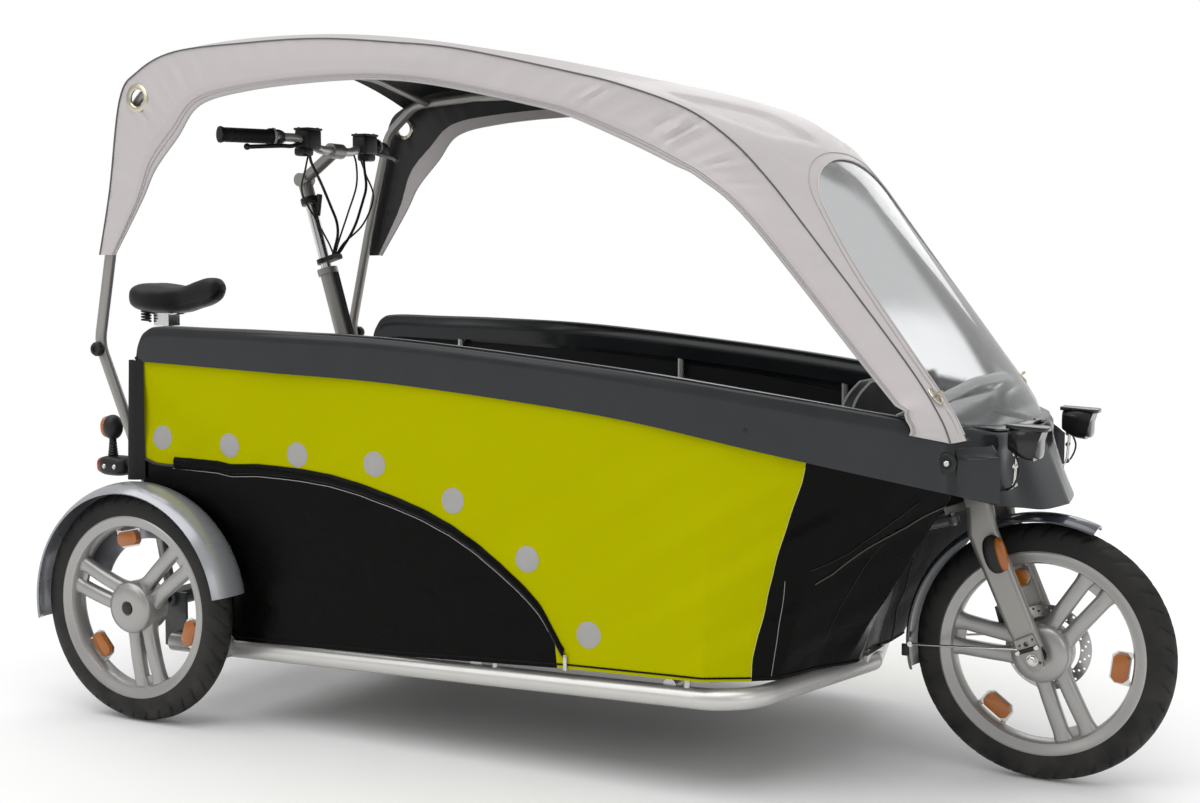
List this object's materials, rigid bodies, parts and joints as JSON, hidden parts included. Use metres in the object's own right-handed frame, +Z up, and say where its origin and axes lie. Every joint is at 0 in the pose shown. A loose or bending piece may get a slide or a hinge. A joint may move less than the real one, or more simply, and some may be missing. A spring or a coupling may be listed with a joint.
{
  "type": "cargo tricycle",
  "caption": "Child-carrying cargo tricycle: one steered wheel ahead of a cloth-sided tub with benches, canopy and windscreen, rider behind.",
  "frame": {"origin": "on the ground under the middle of the vehicle", "axes": "+X forward, +Y to the rider's left, +Z up"},
  "size_m": [2.7064, 1.214, 1.61],
  "materials": {
    "frame_silver": "silver-grey metallic paint, semi-gloss",
    "frame_dark": "black powder coat, satin",
    "fork_silver": "silver metallic paint, semi-gloss",
    "cast_wheel": "silver-painted casting, satin",
    "tyre_rubber": "matte black, treaded",
    "amber_lens": "amber lens in a dark housing",
    "disc_steel": "ground steel",
    "caliper_black": "satin black",
    "fender_dark": "dark slate, glossy",
    "fender_silver": "blue-silver metallic, glossy",
    "thin_steel": "bright steel",
    "rim_grp": "slate-grey moulded shell, glossy",
    "lime_cloth": "lime coated cloth above a black zipped lower panel",
    "black_cloth": "black coated cloth",
    "canopy_pvc": "warm-grey coated cloth, semi-gloss, black lining",
    "clear_screen": "clear flexible sheet",
    "floor_board": "dark film-faced board",
    "bench_board": "dark film-faced board",
    "cushion_cover": "black cover with light-grey piping",
    "saddle_cover": "black soft cover, semi-matte",
    "black_plastic": "satin black",
    "black_rubber": "matte black",
    "motor_black": "satin black",
    "crank_alloy": "brushed alloy",
    "polished_tube": "polished",
    "cable_black": "black cable housing"
  },
  "bodies": {
    "chassis": {"battery_box": "black_plastic", "bench_cushions": "cushion_cover", "benches": "bench_board", "canopy_cloth": "canopy_pvc", "canopy_frame": "frame_silver", "chain_case": "black_plastic", "column_cables": "cable_black", "cross_tubes": "frame_silver", "floor_panel": "floor_board", "front_backrest": "cushion_cover", "front_cloth": "black_cloth", "head_frame": "frame_dark", "head_lamps": "black_plastic", "lower_side_tubes": "frame_silver", "motor": "motor_black", "nose_hoop": "frame_silver", "rear_axle_beam": "frame_dark", "rear_board": "bench_board", "rear_fenders": "fender_silver", "rear_frame": "frame_dark", "rear_lamps": "black_plastic", "rim_posts": "frame_silver", "saddle": "saddle_cover", "seat_post": "frame_dark", "side_cloths": "lime_cloth", "steering_column": "frame_silver", "steering_rod_cover": "black_plastic", "tub_rim": "rim_grp", "windscreen": "clear_screen"},
    "fork": {"fork": "fork_silver", "front_fender": "fender_dark", "front_fender_stays": "thin_steel", "front_indicators": "amber_lens", "front_brake_caliper": "caliper_black"},
    "front_wheel": {"front_cast_wheel": "cast_wheel", "front_tyre": "tyre_rubber", "front_wheel_reflectors": "amber_lens", "front_brake_disc": "disc_steel"},
    "rear_wheel_left": {"rear_cast_wheel_left": "cast_wheel", "rear_tyre_left": "tyre_rubber", "rear_wheel_reflectors_left": "amber_lens"},
    "rear_wheel_right": {"rear_cast_wheel_right": "cast_wheel", "rear_tyre_right": "tyre_rubber", "rear_wheel_reflectors_right": "amber_lens"},
    "handlebar_assembly": {"steering_shaft": "polished_tube", "stem": "polished_tube", "handlebar": "frame_silver", "grips": "black_rubber", "handlebar_controls": "black_plastic", "handlebar_cables": "cable_black"},
    "steering_rod": {"steering_rod": "thin_steel"},
    "crank": {"crankset": "crank_alloy"},
    "pedal_left": {"pedal_left": "black_rubber"},
    "pedal_right": {"pedal_right": "black_rubber"}
  },
  "joints": [
    {"name": "fork_turn", "type": "hinge", "parent": "chassis", "child": "fork", "pos_m": [1.05994, 0, 0.2608], "axis": [-0.2924, 0, 0.9563], "range_deg": [-35, 35]},
    {"name": "handlebar_turn", "type": "hinge", "parent": "chassis", "child": "handlebar_assembly", "pos_m": [-0.4982, 0, 0.246], "axis": [-0.2924, 0, 0.9563], "range_deg": [-35, 35]},
    {"name": "rod_turn", "type": "hinge", "parent": "handlebar_assembly", "child": "steering_rod", "pos_m": [-0.52955, -0.085, 0.15015], "axis": [-0.2924, 0, 0.9563], "range_deg": [-35, 35]},
    {"name": "front_wheel_spin", "type": "hinge", "parent": "fork", "child": "front_wheel", "pos_m": [1.0848, 0, 0.2684], "axis": [0, 1, 0], "continuous": true},
    {"name": "rear_wheel_left_spin", "type": "hinge", "parent": "chassis", "child": "rear_wheel_left", "pos_m": [-0.8782, 0.551, 0.2684], "axis": [0, 1, 0], "continuous": true},
    {"name": "rear_wheel_right_spin", "type": "hinge", "parent": "chassis", "child": "rear_wheel_right", "pos_m": [-0.8782, -0.551, 0.2684], "axis": [0, 1, 0], "continuous": true},
    {"name": "crank_spin", "type": "hinge", "parent": "chassis", "child": "crank", "pos_m": [-1.1302, 0, 0.32], "axis": [0, 1, 0], "continuous": true},
    {"name": "pedal_left_spin", "type": "hinge", "parent": "crank", "child": "pedal_left", "pos_m": [-1.2902, 0.1385, 0.32], "axis": [0, 1, 0], "continuous": true},
    {"name": "pedal_right_spin", "type": "hinge", "parent": "crank", "child": "pedal_right", "pos_m": [-0.9702, -0.1385, 0.32], "axis": [0, 1, 0], "continuous": true}
  ],
  "couplings": [
    {"joint": "handlebar_turn", "follows": "fork_turn", "ratio": 1},
    {"joint": "rod_turn", "follows": "fork_turn", "ratio": -1}
  ]
}
